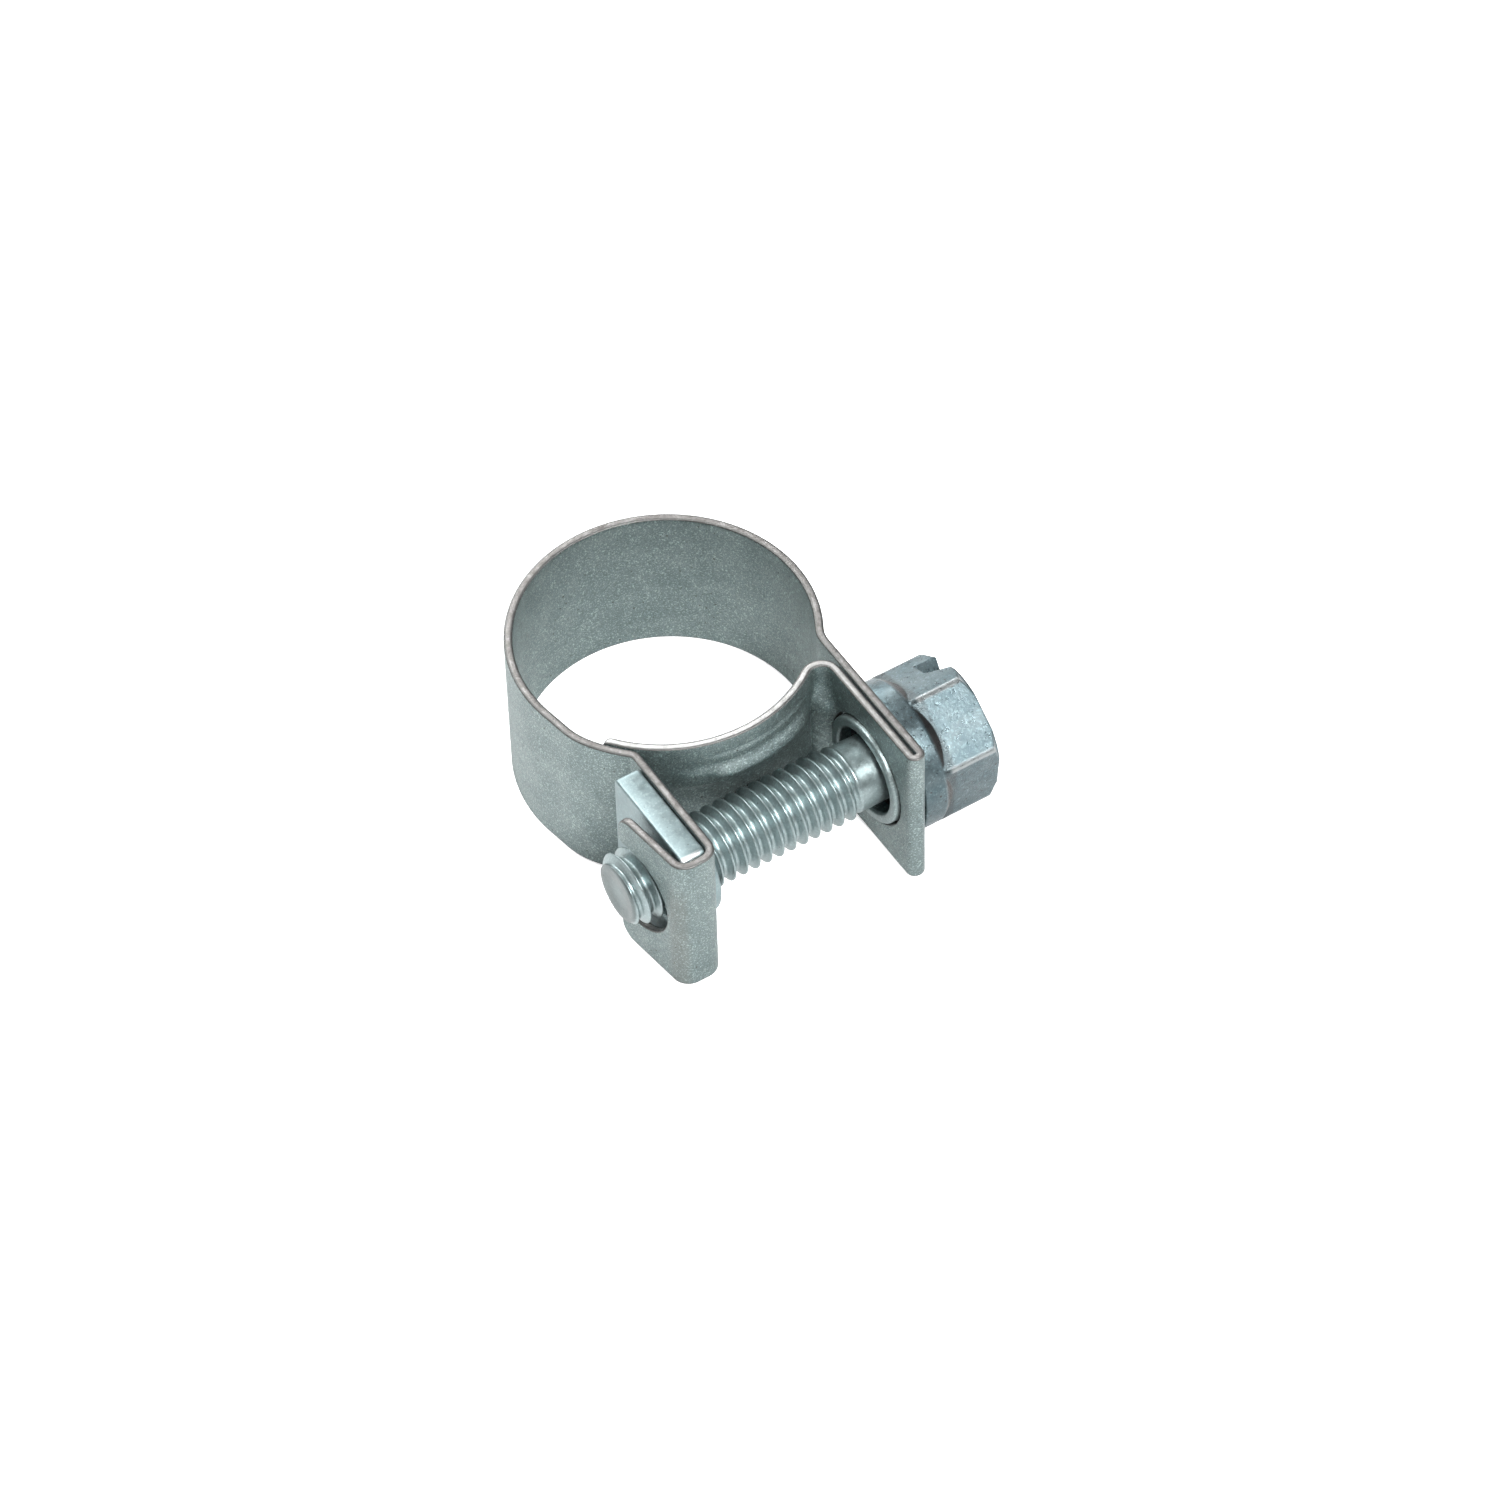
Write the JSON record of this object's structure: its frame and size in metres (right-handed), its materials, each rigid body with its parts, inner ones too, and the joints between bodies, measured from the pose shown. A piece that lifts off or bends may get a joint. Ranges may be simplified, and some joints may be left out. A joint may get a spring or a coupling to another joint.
{
  "type": "mini hose clamp",
  "caption": "Mini hose clamp: a folded spring-steel band with two ears, a captive nut and a slotted hex screw that draws the ears together to grip a small hose.",
  "frame": {"origin": "centre of the hose bore at half the band's width, clamp open as supplied", "axes": "+Z along the hose, +X along the screw towards its head, both ears point to -Y"},
  "size_m": [0.0201, 0.0218, 0.009],
  "materials": {
    "band": "bright zinc plated spring steel strip, mottled, with sheared edges",
    "nut": "bright zinc plated steel, satin faces",
    "screw": "bright blue zinc plated steel, semi gloss"
  },
  "bodies": {
    "head_side": {"band_head_side": "band"},
    "tongue": {"band_tongue": "band"},
    "loop_left": {"band_loop_left": "band"},
    "nut_ear": {"band_nut_ear": "band"},
    "nut": {"nut": "nut"},
    "screw": {"screw": "screw"}
  },
  "joints": [
    {"name": "screw_spin", "type": "hinge", "parent": "head_side", "child": "screw", "pos_m": [0.0066, -0.00981, 0], "axis": [-1, 0, 0], "range_deg": [0, 1800]},
    {"name": "nut_travel", "type": "slide", "parent": "head_side", "child": "nut", "axis": [1, 0, 0], "range_m": [0, 0.0035]},
    {"name": "loop_flex", "type": "hinge", "parent": "head_side", "child": "loop_left", "pos_m": [-0.00383, 0.00667, 0], "axis": [0, 0, 1], "range_deg": [0, 16.05]},
    {"name": "nut_ear_flex", "type": "hinge", "parent": "loop_left", "child": "nut_ear", "pos_m": [-0.00558, -0.0058, 0], "axis": [0, 0, -1], "range_deg": [0, 16.05]},
    {"name": "tongue_flex", "type": "hinge", "parent": "head_side", "child": "tongue", "pos_m": [0.00446, -0.00609, 0], "axis": [0, 0, -1], "range_deg": [0, 20.9]}
  ],
  "couplings": [
    {"joint": "screw_spin", "follows": "nut_travel", "rad_per_m": 8976},
    {"joint": "loop_flex", "follows": "nut_travel", "rad_per_m": 79.65},
    {"joint": "nut_ear_flex", "follows": "nut_travel", "rad_per_m": 79.65},
    {"joint": "tongue_flex", "follows": "nut_travel", "rad_per_m": 103.55}
  ]
}
